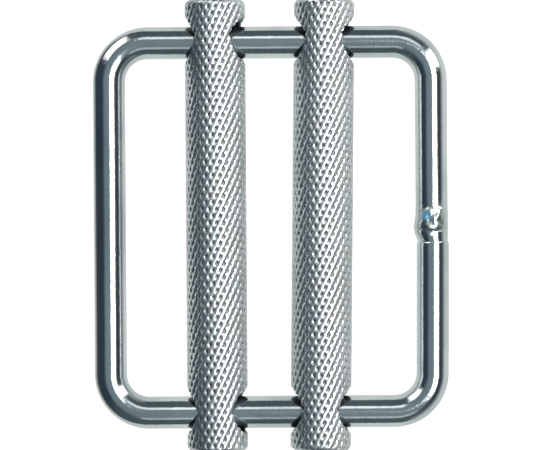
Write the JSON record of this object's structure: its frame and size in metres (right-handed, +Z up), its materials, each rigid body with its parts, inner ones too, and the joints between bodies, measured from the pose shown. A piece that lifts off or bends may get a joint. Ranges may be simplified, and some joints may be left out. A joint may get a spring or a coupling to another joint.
{
  "type": "slide buckle",
  "caption": "Flat slide buckle for 50 mm webbing: a welded round-wire frame with knurled round bars that slide along its cross wires and grip the webbing.",
  "frame": {"origin": "on the surface that the buckle lies on, under the middle of its bars", "axes": "+Y along the bars towards the far cross wire, +X along the cross wires towards the welded side wire, +Z up, square to the frame's plane"},
  "size_m": [0.0552, 0.07, 0.0094],
  "materials": {
    "wire": "bright plated drawn steel wire",
    "bar": "bright plated diamond knurl"
  },
  "bodies": {
    "frame": {"wire_frame": "wire"},
    "left_bar": {"left_bar": "bar"},
    "right_bar": {"right_bar": "bar"}
  },
  "joints": [
    {"name": "left_bar_slide", "type": "slide", "parent": "frame", "child": "left_bar", "axis": [1, 0, 0], "range_m": [-0.0082, 0.0032]},
    {"name": "right_bar_slide", "type": "slide", "parent": "frame", "child": "right_bar", "axis": [1, 0, 0], "range_m": [-0.0032, 0.0082]}
  ]
}
